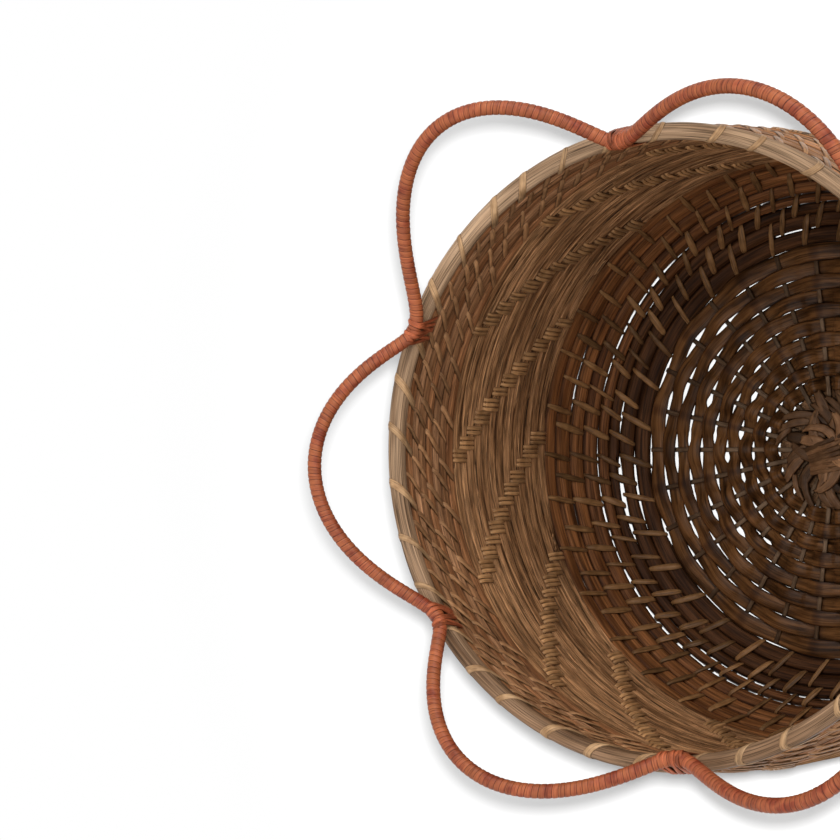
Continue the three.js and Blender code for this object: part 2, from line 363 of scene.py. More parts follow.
def set_spots(mesh, spots):
    """Moves a mesh's vertices to these places."""
    mesh.vertices.foreach_set("co", spots.ravel())
    mesh.update()


def spin_round(bm, geometry, steps):
    """Spins a profile once round the upright axis."""
    bmesh.ops.spin(
        bm, geom=geometry, cent=(0, 0, 0), axis=(0, 0, 1), dvec=(0, 0, 0), angle=TURN, steps=steps,
        use_merge=True, use_duplicate=False,
    )


def dress(mesh, name, material, replaced=()):
    """Makes the piece of a mesh, with its material and body, and hides the solids that it stands for."""
    mesh.name = name
    mesh.polygons.foreach_set("use_smooth", [True] * len(mesh.polygons))
    piece = bpy.data.objects.new(name, mesh)
    bpy.context.scene.collection.objects.link(piece)
    mesh.materials.append(material)
    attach(piece, "root")
    if replaced:
        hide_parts(*replaced)


@functools.lru_cache
def ring_template(points):
    """A ring about the axis with a round section of radius 1: a grid rolled up twice."""
    bm = bmesh.new()
    bmesh.ops.create_grid(bm, x_segments=points, y_segments=RING_STEPS, size=1)
    for vert in bm.verts:
        turn, azimuth = math.pi * vert.co.x, math.pi * vert.co.y
        radius = TEMPLATE_RADIUS + math.cos(turn)
        vert.co = (radius * math.cos(azimuth), radius * math.sin(azimuth), math.sin(turn))
    bmesh.ops.remove_doubles(bm, verts=bm.verts[:], dist=1e-5)
    bmesh.ops.recalc_face_normals(bm, faces=bm.faces[:])
    return mesh_of(bm, "ring")


def new_ring(points):
    """A ring of its own to shape, and for each vertex its azimuth, its turn round the section and the
    number of its strand."""
    mesh = ring_template(points).copy()
    spots = spots_of(mesh)
    azimuths = np.arctan2(spots[:, 1], spots[:, 0])
    turns = np.arctan2(spots[:, 2], np.hypot(spots[:, 0], spots[:, 1]) - TEMPLATE_RADIUS)
    strands = np.round(turns / TURN * points).astype(int) % points
    return mesh, azimuths, turns, strands


def place_ring(mesh, azimuths, radii, heights, edge):
    """Moves each vertex of a ring to its radius and height. The argument edge, from 0 to 1, is painted
    shade:
    how far the vertex lies towards an edge or down in a dip, where shade falls. From 0.72 on, the material
    is painted darker."""
    set_spots(mesh, np.stack([radii * np.cos(azimuths), radii * np.sin(azimuths), heights], axis=1))
    mesh.attributes.new("Edge", "FLOAT", "POINT").data.foreach_set("value", edge)


def coil_mesh(index, strands, ridge, squareness, pinches, tug=1.5 * MM):
    """A coil of the wall as a bundle of strands that wander a little. A tug draws it in where stitches pull
    on it: each pinch is the azimuths of a row of stitches and the side, 1 above or -1 below."""
    row = rows[index]
    points = 2 * strands
    mesh, azimuths, turns, order = new_ring(points)
    chance = np.random.default_rng(SEED_STRANDS + index)
    phases = chance.uniform(0, TURN, (points, 3))
    stand = ridge * np.where(np.arange(points) % 2, -1, 1) * chance.uniform(0.3, 1.9, points)
    wander = wandering(azimuths, phases[order], (5, 11, 24))
    up = signed_power(np.cos(turns), squareness)
    out = signed_power(np.sin(turns), squareness)
    across = np.abs(np.sin(turns))

    above = openings(azimuths, DAYLIGHT, index + 1, SEED_DAYLIGHT)
    below = openings(azimuths, DAYLIGHT, index, SEED_DAYLIGHT)
    half = row.half + 0.25 * MM - np.where(up > 0, above, below) / 2
    half -= 0.35 * MM * across * np.clip(drift(azimuths, SEED_HEIGHT + index, (17, 29, 43)), 0, 1)

    pull = np.zeros_like(azimuths)
    for spots, side in pinches:
        near = np.zeros_like(azimuths)
        for spot in spots:
            reach = wrapped(azimuths - spot) * row.middle[0] / (2.4 * MM)
            near = np.maximum(near, np.exp(-(reach ** 2)))
        pull += near * (np.sign(up) == side)
    half -= tug * pull * np.clip(2.2 * across, 0, 1) * np.abs(np.cos(turns))

    depth = row.thick - 0.15 * MM + stand[order] + 0.14 * MM * wander * across
    depth += 0.12 * MM * drift(azimuths, SEED_DEPTH + index, (4, 9, 15))
    height = up * half + 0.22 * MM * wander * across
    radii = row.middle[0] + height * row.along[0] + out * depth * row.outward[0]
    heights = row.middle[1] + height * row.along[1] + out * depth * row.outward[1]
    # Painted shade: towards the top and bottom of its section, where it meets the coils beside it, a coil is
    # painted darker.
    place_ring(mesh, azimuths, radii, np.maximum(heights, 0), np.abs(up))
    # The section of the template comes into the wall mirrored, so its faces are turned outwards again.
    mesh.flip_normals()
    return mesh


def copies(template, count, name):
    """A mesh of so many copies of a template, which goes. Each copy has a tone of its own, from 0 to 1."""
    bm = bmesh.new()
    for _ in range(count):
        bm.from_mesh(template)
    bpy.data.meshes.remove(template)
    mesh = mesh_of(bm, name)
    tones = np.random.default_rng(count).uniform(0, 1, count)
    tone = mesh.attributes.new("Tone", "FLOAT", "POINT")
    tone.data.foreach_set("value", np.repeat(tones, len(mesh.vertices) // count))
    return mesh


def strap_template(stations, section):
    """A closed strap with a section, as a ring about the axis: height is the way across, distance the
    thickness. Its Grain map runs round half the loop and back, and across."""
    bm = bmesh.new()
    bmesh.ops.create_circle(bm, cap_ends=False, segments=len(section), radius=1)
    for vert, (across, depth) in zip(bm.verts, section):
        vert.co = (TEMPLATE_RADIUS + depth, 0, across)
    spin_round(bm, bm.verts[:] + bm.edges[:], stations)
    bmesh.ops.recalc_face_normals(bm, faces=bm.faces[:])
    grain = bm.loops.layers.uv.new("Grain")
    for face in bm.faces:
        for loop in face.loops:
            spot = loop.vert.co
            turn = abs(math.atan2(spot.y, spot.x))
            loop[grain].uv = (turn / math.pi, spot.z / 2 + 0.5)
    return mesh_of(bm, "strap")


def straps(bands, name, section=SHAVED):
    """A mesh of closed straps. Each band gives, station by station, the columns radius, height, azimuth,
    outward radius, outward height, half width and thickness."""
    stations = len(bands[0])
    mesh = copies(strap_template(stations, section), len(bands), name)
    spots = spots_of(mesh).reshape(len(bands), -1, 3)
    turn = np.arctan2(spots[0, :, 1], spots[0, :, 0])
    station = np.round(turn / TURN * stations).astype(int) % stations
    depth = np.hypot(spots[0, :, 0], spots[0, :, 1]) - TEMPLATE_RADIUS
    across = spots[0, :, 2]
    table = np.array(bands)[:, station, :]
    radius, height, azimuth, out_radius, out_height, half_width, thickness = np.moveaxis(table, 2, 0)
    radius = radius + depth * thickness * out_radius
    height = height + depth * thickness * out_height
    azimuth = azimuth - across * half_width / radius
    set_spots(mesh, np.stack([radius * np.cos(azimuth), radius * np.sin(azimuth), height], axis=-1))
    return mesh


def stick_mesh(places, name):
    """A mesh of round sticks, one for each matrix that sizes and places a stick one unit long and wide."""
    bm = bmesh.new()
    bmesh.ops.create_cone(bm, cap_ends=True, segments=10, radius1=0.5, radius2=0.5, depth=1)
    bmesh.ops.transform(bm, matrix=Matrix.Rotation(math.pi / 2, 4, "Y"), verts=bm.verts[:])
    grain = bm.loops.layers.uv.new("Grain")
    for face in bm.faces:
        for loop in face.loops:
            spot = loop.vert.co
            loop[grain].uv = (4 * spot.x, spot.y + 0.5)
    mesh = copies(mesh_of(bm, "stick"), len(places), name)
    spots = np.insert(spots_of(mesh).reshape(len(places), -1, 3), 3, 1, axis=2)
    set_spots(mesh, np.einsum("nij,nvj->nvi", np.array(places), spots)[:, :, :3])
    return mesh


def hull(points):
    """The convex outline of (radius, height) points, anticlockwise."""
    spots = sorted({(round(float(r), 7), round(float(z), 7)) for r, z in points})

    def chain(run):
        kept = []
        for spot in run:
            while len(kept) > 1:
                (ax, ay), (bx, by) = kept[-2], kept[-1]
                if (bx - ax) * (spot[1] - ay) - (by - ay) * (spot[0] - ax) > 0:
                    break
                kept.pop()
            kept.append(spot)
        return kept[:-1]

    return np.array(chain(spots) + chain(spots[::-1]))


def loop_round(points, stations):
    """Stations round the hull of the points, closer together where it bends, starting at its lowest, and
    their outward directions."""
    outline = hull(points)
    start = int(np.argmin(outline[:, 1]))
    outline = np.roll(outline, -start, axis=0)
    closed = np.vstack([outline, outline[:1]])
    edges = np.diff(closed, axis=0)
    lengths = np.hypot(*edges.T)
    ways = np.arctan2(edges[:, 1], edges[:, 0])
    bends = np.abs(wrapped(ways - np.roll(ways, 1)))
    weights = lengths / lengths.sum() + 1.2 * (bends + np.roll(bends, -1)) / (2 * TURN)
    marks = np.concatenate([[0], np.cumsum(weights)])
    spread = np.arange(stations) / stations * marks[-1]
    spots = np.stack([np.interp(spread, marks, closed[:, axis]) for axis in (0, 1)], axis=1)
    ahead = np.roll(spots, -1, axis=0) - np.roll(spots, 1, axis=0)
    ahead /= np.hypot(ahead[:, 0], ahead[:, 1])[:, None]
    return spots, np.stack([ahead[:, 1], -ahead[:, 0]], axis=1)


def band(points, along, stations, top, bottom, width, thickness, narrowing=0.2):
    """One band round the hull of the points, narrower at its ends. Its azimuth runs from bottom to top
    along the direction."""
    spots, outward = loop_round(points, stations)
    rise = spots @ along
    share = (rise - rise.min()) / (rise.max() - rise.min())
    azimuths = bottom + (top - bottom) * share
    half_widths = width / 2 * (1 - narrowing * np.abs(2 * share - 1) ** 3)
    columns = (*spots.T, azimuths, *outward.T, half_widths, np.full(stations, thickness))
    return np.stack(columns, axis=1)


STITCH_LIFT = 0.45 * MM


def stitch(upper_row, lower_row, top, slant, width, thickness, narrowing):
    """A stitch round two neighbouring rows, slanting down from its top."""
    points = np.vstack([upper_row.outline(STITCH_LIFT), lower_row.outline(STITCH_LIFT)])
    along = upper_row.along + lower_row.along
    lean = slant * upper_row.middle[0] / (2 * (upper_row.half + lower_row.half))
    wide = width * math.hypot(1, lean)
    return band(points, along, STITCH_STATIONS, top, top + slant, wide, thickness, narrowing)


def stitch_row(name, peel, pair, tops, slant, widths, narrowing):
    """One piece of all the stitches that go round the same pair of coils."""
    thickness = bpy.context.scene.basket_sizes.peel_thickness
    bands = [stitch(*pair, top, slant, width, thickness, narrowing) for top, width in zip(tops, widths)]
    dress(straps(bands, name), name, peel)


def stitch_places(count, first, seed, slip=0.9):
    """The azimuths of one row's stitches, evenly spread with the slips of handwork, in degrees."""
    degrees = first + np.arange(count) * 360 / count + jitter(seed, count, slip)
    return np.array([from_camera(value) for value in degrees])


def upper_tops(level):
    """The stitch tops of one row of the upper band, counted down from the rim."""
    return stitch_places(UPPER_COUNT, UPPER_FIRST + UPPER_SHIFT * level, SEED_UPPER + level)


def step_spots(level):
    """The azimuths of the steps whose upper row is this one of the stepped band, counted down."""
    return stitch_places(STEP_COUNT, STEP_FIRST + STEP_SHIFT * level, SEED_STEPS, 1.1)


def lower_tops(line):
    """The stitch tops on one line of the lower band, counted from the foot."""
    return stitch_places(LOWER_COUNT, LOWER_FIRST[line % 2], SEED_LOWER + line)


def lower_slant(line):
    """The lower a stitch lies, the more it slants."""
    return math.radians(4.2 - 0.33 * line)


def add(tree, kind, inputs=None, stops=(), **settings):
    """Adds a shader node with its settings. Inputs maps a socket's name or number to a value, a link or a
    node, whose first output is meant; stops are the (place, colour) pairs of a ramp."""
    node = tree.nodes.new("ShaderNode" + kind)
    for name, value in settings.items():
        setattr(node, name, value)
    for key, value in (inputs or {}).items():
        if isinstance(value, bpy.types.Node):
            value = value.outputs[0]
        if isinstance(value, bpy.types.NodeSocket):
            tree.links.new(value, node.inputs[key])
        else:
            node.inputs[key].default_value = value
    if stops:
        elements = node.color_ramp.elements
        elements[0].position, elements[0].color = stops[0]
        elements[1].position, elements[1].color = stops[-1]
        for position, value in stops[1:-1]:
            elements.new(position).color = value
    return node


def new_material(name):
    """A material with an empty node tree."""
    material = bpy.data.materials.new(name)
    material.use_nodes = True
    material.node_tree.nodes.clear()
    return material, material.node_tree


def scaled(value, factor):
    """A colour made lighter or darker, as a whole or channel by channel, for a material's own colour."""
    return tuple(np.minimum(np.array(value[:3]) * factor, 1.0)) + (1.0,)


def stain(*levels):
    """A layer's colour, which may lighten too: one level for all channels or one for each."""
    return (levels * 3)[:3] + (1.0,)


# The usual radius of the wall, the usual length and width of a strip, and how far apart two places on the
# basket lie when their strips look quite unlike: they turn the real size of a streak into a scale.
WALL_RADIUS = 170 * MM
STRIP_LENGTH = 30 * MM
STRIP_WIDTH = 4 * MM
UNLIKE = 25 * MM


def ring_grain(tree, run, width, detail=3.0, rise=1.0):
    """Noise drawn out round the basket: run and width are the real sizes of one streak in metres, and rise
    is how much it also changes with the height."""
    parts = add(tree, "SeparateXYZ", {0: add(tree, "TexCoord").outputs["Object"]}).outputs
    flat = add(tree, "CombineXYZ", {0: parts[0], 1: parts[1], 2: 0.0})
    radius = add(tree, "VectorMath", {0: flat}, operation="LENGTH").outputs["Value"]
    way = add(tree, "VectorMath", {0: flat}, operation="NORMALIZE")
    way = add(tree, "VectorMath", {0: way, "Scale": WALL_RADIUS / run}, operation="SCALE")
    way = add(tree, "SeparateXYZ", {0: way}).outputs
    level = add(tree, "Math", {0: parts[2], 1: rise / width}, operation="MULTIPLY")
    depth = add(tree, "Math", {0: radius, 1: 1 / width}, operation="MULTIPLY")
    spot = add(tree, "CombineXYZ", {0: way[0], 1: way[1], 2: level})
    noise = {"Vector": spot, "W": depth, "Scale": 1.0, "Detail": detail, "Roughness": 0.6}
    return add(tree, "TexNoise", noise, noise_dimensions="4D")


def strip_grain(tree, run, width):
    """Noise drawn out along a strip of the usual length and width: run and width are the real sizes of one
    streak in metres. Each place on the basket has its own piece of the noise."""
    spot_on_strip = add(tree, "UVMap", uv_map="Grain")
    spot_on_basket = add(tree, "TexCoord").outputs["Object"]
    shares = (STRIP_LENGTH / run, STRIP_WIDTH / width, 0)
    stretched = add(tree, "VectorMath", {0: spot_on_strip, 1: shares}, operation="MULTIPLY")
    apart = add(tree, "VectorMath", {0: spot_on_basket, 1: (1 / UNLIKE,) * 3}, operation="MULTIPLY")
    spot = add(tree, "VectorMath", {0: stretched, 1: apart})
    return add(tree, "TexNoise", {"Vector": spot, "Scale": 1.0, "Detail": 2.0, "Roughness": 0.6})


def patches(tree, size):
    """Soft uneven patches, of a real size in metres."""
    spot = add(tree, "TexCoord").outputs["Object"]
    return add(tree, "TexNoise", {"Vector": spot, "Scale": 1 / size, "Detail": 2.0})


def finish_wood(tree, layers, relief, distance, roughness, gloss):
    """The shader of a rattan surface. Its layers of colour, painted shade among them, lie over each other as
    stain lies over wood, so they are multiplied, and its relief is fine."""
    shade = layers[0]
    for layer in layers[1:]:
        mix = add(tree, "Mix", {0: 1.0, 6: shade, 7: layer}, data_type="RGBA", blend_type="MULTIPLY")
        shade = mix.outputs[2]
    bump = add(tree, "Bump", {"Strength": 0.7, "Distance": distance, "Height": relief})
    surface = {"Base Color": shade, "Roughness": roughness, "Specular IOR Level": gloss, "Normal": bump}
    add(tree, "OutputMaterial", {0: add(tree, "BsdfPrincipled", surface)})


def strand_material(
    name, base, run, width, contrast, roughness, fine=1.0, gloss=0.1, uneven=1.0, rise=1.0, dark_crests=False
):
    """Rattan core, split into long strands: matt, streaked along its length, with long stretches where the
    colour took unevenly. Painted shade darkens the grooves between strands, and the crests are painted
    paler; painted shade also darkens it towards an edge, in a dip and on a shaded side. Run and width are
    the sizes of a streak,
    and fine is the strength of the thinnest fibres. With dark crests the grooves' painted shade is turned
    round:
    the crests are darker and the grooves paler."""
    material, tree = new_material(name)
    streaks = add(tree, "ValToRGB", {0: ring_grain(tree, run, width, rise=rise)}, stops=[
        (0.3, scaled(base, 1 - 1.8 * contrast)),
        (0.42, scaled(base, 1 - contrast)),
        (0.52, base),
        (0.7, scaled(base, 1 + 0.9 * contrast)),
    ])
    # Real fibres are about 0.1 mm thick: they are drawn as coarse as the picture needs to show them.
    fibre = ring_grain(tree, 0.4 * run, 0.42 * MM, 1.0, rise)
    fibres = add(tree, "ValToRGB", {0: fibre}, stops=[
        (0.35, stain(1.25 - 0.85 * fine)),
        (0.46, stain(1.25)),
        (0.68, stain(1.25 + 0.3 * fine)),
    ])
    low, high = 1 - 0.44 * uneven, 1 + 0.22 * uneven
    dye = add(tree, "ValToRGB", {0: ring_grain(tree, 55 * MM, 6 * MM, 1.0, rise)}, stops=[
        (0.34, stain(low, 0.93 * low, 0.88 * low)),
        (0.5, stain(0.96)),
        (0.66, stain(high, 1.03 * high, 1.08 * high)),
    ])
    # Painted shade from the surface's curvature: darker in the grooves between strands and paler on the
    # crests, turned round with dark crests.
    crest = add(tree, "NewGeometry").outputs["Pointiness"]
    worn = [(0.43, stain(0.3)), (0.5, stain(1.0)), (0.56, stain(1.15))]
    if dark_crests:
        worn = [(1 - place, tone) for place, tone in reversed(worn)]
    worn = add(tree, "ValToRGB", {0: crest}, stops=worn)
    # Painted shade: darker towards an edge of a coil or strip, where a strip dives under a stick, and on the
    # shaded side of the rim.
    edge = add(tree, "Attribute", attribute_name="Edge").outputs["Fac"]
    painted_edge_shade = [(0.72, stain(1.0)), (0.9, stain(0.6, 0.54, 0.5)), (1.0, stain(0.2))]
    painted_edge_shade = add(tree, "ValToRGB", {0: edge}, stops=painted_edge_shade)
    finish_wood(tree, (streaks, fibres, dye, worn, painted_edge_shade), fibre, 0.4 * MM, roughness, gloss)
    return material


def peel_material(name, base, roughness, variety=0.3):
    """Rattan peel, shaved flat: the low gloss of the cane's outer skin, with fine lines along the strip,
    painted shade along both edges of each strip and a different tone from one strip to the next."""
    material, tree = new_material(name)
    grain = strip_grain(tree, 18 * MM, 0.56 * MM)
    streaks = [(0.3, scaled(base, 0.45)), (0.48, base), (0.72, scaled(base, 1.3))]
    streaks = add(tree, "ValToRGB", {0: grain}, stops=streaks)
    tone = add(tree, "Attribute", attribute_name="Tone").outputs["Fac"]
    tones = [(0.0, stain(1 - variety)), (0.5, stain(1.0)), (1.0, stain(1 + variety))]
    tones = add(tree, "ValToRGB", {0: tone}, stops=tones)
    uneven = [(0.34, stain(0.7, 0.65, 0.6)), (0.62, stain(1.1))]
    uneven = add(tree, "ValToRGB", {0: patches(tree, 7 * MM)}, stops=uneven)
    # Painted shade: both edges of each strip are painted dark.
    across = add(tree, "SeparateXYZ", {0: add(tree, "UVMap", uv_map="Grain")}).outputs[1]
    cut = [(0.0, stain(0.3)), (0.1, stain(1.0)), (0.9, stain(1.0)), (1.0, stain(0.3))]
    cut = add(tree, "ValToRGB", {0: across}, stops=cut)
    finish_wood(tree, (streaks, cut, tones, uneven), grain, 0.2 * MM, roughness, 0.2)
    return material


def winding_material(name, base, turn_width, rod_radius):
    """Rattan peel, dyed and wound on a rod: each turn took the dye a little differently, painted shade draws
    thin dark lines between the turns with a paler band beside them, and the skin keeps a low gloss."""
    material, tree = new_material(name)
    spot = add(tree, "UVMap", uv_map="Grain")
    turns = add(tree, "SeparateXYZ", {0: spot}).outputs[0]
    turn = add(tree, "Math", {0: turns}, operation="FLOOR")
    part = add(tree, "Math", {0: turns}, operation="FRACT")
    chance = add(tree, "TexWhiteNoise", {"W": turn}, noise_dimensions="1D")
    dyes = [(0.0, scaled(base, 0.8)), (0.3, scaled(base, 0.95)), (0.7, base), (1.0, scaled(base, 1.15))]
    dyes = add(tree, "ValToRGB", {0: chance}, stops=dyes)
    # Fibres are drawn about half a millimetre wide and 13 mm long, so many to a turn and so many round the
    # rod. Real ones are about 0.1 mm wide, too fine for the picture.
    counts = (round(turn_width / (0.5 * MM)), round(TURN * rod_radius / (13 * MM)), 0)
    spot = add(tree, "VectorMath", {0: spot, 1: counts}, operation="MULTIPLY")
    fibre = add(tree, "TexNoise", {"Vector": spot, "Scale": 1.0, "Detail": 3.0})
    fibres = [(0.34, stain(0.5, 0.38, 0.36)), (0.46, stain(0.88, 0.84, 0.82)), (0.66, stain(1.0))]
    fibres = add(tree, "ValToRGB", {0: fibre}, stops=fibres)
    # Painted shade: a thin dark line in the groove between two turns, with a paler band beside it.
    edge = add(tree, "ValToRGB", {0: part}, stops=[
        (0.0, stain(0.1, 0.06, 0.05)),
        (0.09, stain(1.0)),
        (0.16, stain(1.12, 1.2, 1.15)),
        (0.28, stain(0.96)),
        (0.92, stain(1.04)),
        (1.0, stain(0.25, 0.16, 0.15)),
    ])
    worn = [(0.34, stain(0.72, 0.55, 0.55)), (0.46, stain(1.0)), (0.62, stain(1.1, 1.2, 1.08))]
    worn = add(tree, "ValToRGB", {0: patches(tree, 9 * MM)}, stops=worn)
    finish_wood(tree, (dyes, fibres, edge, worn), fibre, 0.1 * MM, 0.45, 0.25)
    return material


def seen_directly(tree):
    """One for rays of the camera, of mirrors and through glass, and zero for the light on other things."""
    rays = add(tree, "LightPath").outputs
    seen = rays["Is Camera Ray"]
    for kind in ("Is Glossy Ray", "Is Transmission Ray"):
        seen = add(tree, "Math", {0: seen, 1: rays[kind]}, operation="MAXIMUM")
    return seen


def floor_material(name, base):
    """White paper, uncoated and matt: shadows fall on it near the basket, and from there out it turns to
    the plain white of a photographer's backdrop. It throws little light back on the basket."""
    material, tree = new_material(name)
    seen = seen_directly(tree)
    spot = add(tree, "TexCoord").outputs["Object"]
    away = add(tree, "VectorMath", {0: spot}, operation="LENGTH").outputs["Value"]
    glowing = add(tree, "ValToRGB", {0: away}, stops=[(0.34, stain(0.1)), (0.6, stain(1.0))])
    share = add(tree, "Math", {0: seen, 1: glowing}, operation="MULTIPLY")
    shade = add(tree, "ValToRGB", {0: seen}, stops=[(0.0, scaled(base, 0.15)), (1.0, scaled(base, 0.4))])
    paper = add(tree, "BsdfDiffuse", {"Color": shade})
    glow = add(tree, "Emission", {"Color": base, "Strength": 1.0})
    add(tree, "OutputMaterial", {0: add(tree, "MixShader", {0: share, 1: paper, 2: glow})})
    return material


class BASKET_OT_rim(bpy.types.Operator):
    """Make the rim hoop of smooth pale strands and the peel ties over it"""

    bl_idname = "basket.rim"
    bl_label = "Rim and ties"

    def execute(self, context):
        sizes, colours = context.scene.basket_sizes, context.scene.basket_colours
        middle, half = (rim_low + rim_high) / 2, (rim_high - rim_low) / 2
        points = 64
        mesh, azimuths, turns, order = new_ring(points)
        phases = np.random.default_rng(SEED_RIM).uniform(0, TURN, (points, 3))
        stand = 0.08 * MM * np.where(np.arange(points) % 2, -1, 1)
        stand = stand * np.random.default_rng(SEED_RIM + 1).uniform(0.3, 1.8, points)
        relief = stand[order] + 0.07 * MM * wandering(azimuths, phases[order], (4, 9, 19))
        radii = middle[0] + signed_power(np.cos(turns), RIM_SQUARENESS) * (half[0] + relief)
        heights = middle[1] + signed_power(np.sin(turns), RIM_SQUARENESS) * (half[1] + relief)
        # Painted shade: the side of the rim away from the key light is painted darker and browner,
        # past where the material darkens.
        shaded_side = np.interp(np.sin(azimuths + FACING), (-0.9, 0.1), (0.9, 0.7))
        place_ring(mesh, azimuths, radii, heights, shaded_side)
        # Drawn smooth: pale strands with long faint streaks and a little shine.
        strands = strand_material(
            "rattan core, drawn smooth", colours.rim[:], 90 * MM, 0.7 * MM, 0.2, 0.4, 0.95
        )
        dress(mesh, "rim_strands", strands, ["rim_hoop"])

        # Shaved peel: pale, with a low gloss, and nearly the same from tie to tie.
        peel = peel_material("rattan peel, shaved", colours.tie[:], 0.45, 0.12)
        points = np.vstack([rows[-1].outline(0.4 * MM), rim_outline(0.2 * MM)])
        along = np.array((0.8, 1))
        tops = stitch_places(TIE_COUNT, TIE_FIRST, SEED_TIES, 1.4)
        widths = sizes.tie_width * (1 + jitter(SEED_TIES + 1, TIE_COUNT, 0.25))
        bands = [
            band(points, along, TIE_STATIONS, top, top + TIE_SLANT, width, sizes.peel_thickness, 0.1)
            for top, width in zip(tops, widths)
        ]
        dress(straps(bands, "rim_ties"), "rim_ties", peel)
        return {"FINISHED"}


class BASKET_OT_upper_wall(bpy.types.Operator):
    """Make the reddish coils below the rim and their slanting stitches"""

    bl_idname = "basket.upper_wall"
    bl_label = "Upper coils"

    def execute(self, context):
        sizes, colours = context.scene.basket_sizes, context.scene.basket_colours
        # Split core, stained in three reds: the colour changes from coil to coil, with clear streaks.
        tints = {"red": (1.0, 0.95, 0.9), "deep red": (0.74, 0.75, 0.74), "pink": (1.15, 1.25, 1.36)}
        strands = [
            strand_material(
                f"rattan core, split and stained {tint}", scaled(colours.upper, share), 45 * MM, 0.9 * MM,
                0.3, 0.55, 0.8, dark_crests=True,
            )
            for tint, share in tints.items()
        ]
        # Shaved peel, stained brown: fine lines along each stitch and painted shade along its edges.
        peel = peel_material("rattan peel, shaved and stained brown", colours.stitch[:], 0.45)
        last = len(UPPER) - 1
        for step, node in enumerate(UPPER):
            level = last - step
            # The stitches of the row itself, and the ends of those that come down from the two above.
            pinches = [
                (upper_tops(level - above) + UPPER_SLANT * above / 2, 1)
                for above in range(min(level, 2) + 1)
            ]
            mesh = coil_mesh(COILS.index(node), 14, 0.12 * MM, 0.52, pinches)
            dress(mesh, f"{node}_strands", strands[step % 3], [node])
        for level in range(last):
            pair = (rows[-1 - level], rows[-2 - level])
            widths = sizes.stitch_width * (1 + jitter(SEED_UPPER_WIDTHS + level, UPPER_COUNT, 0.25))
            name = f"upper_stitches_{level + 1:02d}"
            stitch_row(name, peel, pair, upper_tops(level), UPPER_SLANT, widths, 0.4)
        return {"FINISHED"}


class BASKET_OT_stepped_wall(bpy.types.Operator):
    """Make the broad band of pale coils and the stepped stitches that run down it"""

    bl_idname = "basket.stepped_wall"
    bl_label = "Stepped coils"

    def execute(self, context):
        sizes, colours = context.scene.basket_sizes, context.scene.basket_colours
        # Split core left pale: short strong streaks and no shine, like straw.
        strands = strand_material(
            "rattan core, split and left pale", colours.stepped[:], 26 * MM, 0.75 * MM, 0.4, 0.65,
            dark_crests=True,
        )
        # Peel cut thick and left golden: the brightest strips of the wall, with a soft shine.
        peel = peel_material("rattan peel, cut thick and left golden", colours.step[:], 0.4)
        last = len(STEPPED) - 1
        for step, node in enumerate(STEPPED):
            level = last - step
            pinches = [(step_spots(level - 0.5), 1), (step_spots(level + 0.5), -1)]
            mesh = coil_mesh(COILS.index(node), 20, 0.22 * MM, 0.6, pinches, 2.3 * MM)
            dress(mesh, f"{node}_strands", strands, [node])
        for level in range(last):
            lower_index = len(LOWER) + last - level - 1
            lower_row, upper_row = rows[lower_index], rows[lower_index + 1]
            points = np.vstack([upper_row.outline(0.4 * MM), lower_row.outline(0.4 * MM)])
            along = upper_row.along + lower_row.along
            slips = jitter(SEED_STEP_SLIPS + level, STEP_COUNT, 0.6) * MM
            bands = []
            for number, (spot, slip) in enumerate(zip(step_spots(level), slips)):
                count = 2 if (number + level) % 3 == 0 else 3
                for strand in range(count):
                    offset = (strand - (count - 1) / 2) * sizes.step_strand * 1.02
                    azimuth = spot + (offset + slip) / upper_row.middle[0]
                    bands.append(
                        band(points, along, STITCH_STATIONS, azimuth, azimuth, sizes.step_strand, 1.1 * MM)
                    )
            name = f"step_strands_{level + 1:02d}"
            dress(straps(bands, name, PLUMP), name, peel)
        return {"FINISHED"}


class BASKET_OT_lower_wall(bpy.types.Operator):
    """Make the thick dark coils above the base and their long flat stitches"""

    bl_idname = "basket.lower_wall"
    bl_label = "Lower coils"

    def execute(self, context):
        sizes, colours = context.scene.basket_sizes, context.scene.basket_colours
        # Split core, stained dark and painted darker towards the foot as shade: broad streaks on dark
        # ground.
        tints = {"nearly black": (0.42, 0.42, 0.44), "dark": (0.85, 0.82, 0.8), "brown": (1.2, 1.18, 1.15)}
        strands = {
            tint: strand_material(
                f"rattan core, split and stained {tint}", scaled(colours.lower, share), 60 * MM, 1.4 * MM,
                0.38, 0.5, 0.7, dark_crests=True,
            )
            for tint, share in tints.items()
        }
        # Painted shade: the three coils at the foot are painted nearly black and the two above them darker.
        foot_shade_tint = ["nearly black"] * 3 + ["dark"] * 2 + ["brown"] * 3
        for index, node in enumerate(LOWER):
            pinches = [(lower_tops(index + 1), 1)] if index else []
            mesh = coil_mesh(index, 14, 0.14 * MM, 0.95, pinches)
            dress(mesh, f"{node}_strands", strands[foot_shade_tint[index]], [node])
        # Peel worn dull: its tone differs much from stitch to stitch.
        peel = peel_material("rattan peel, shaved and worn dull", colours.lower_stitch[:], 0.42, 0.4)
        for line in range(2, len(LOWER) + 1):
            pair = (rows[line - 1], rows[line - 2])
            widths = sizes.lower_width * (1 + jitter(SEED_LOWER_WIDTHS + line, LOWER_COUNT, 0.3))
            name = f"lower_stitches_{line - 1:02d}"
            stitch_row(name, peel, pair, lower_tops(line), lower_slant(line), widths, 0.5)
        return {"FINISHED"}


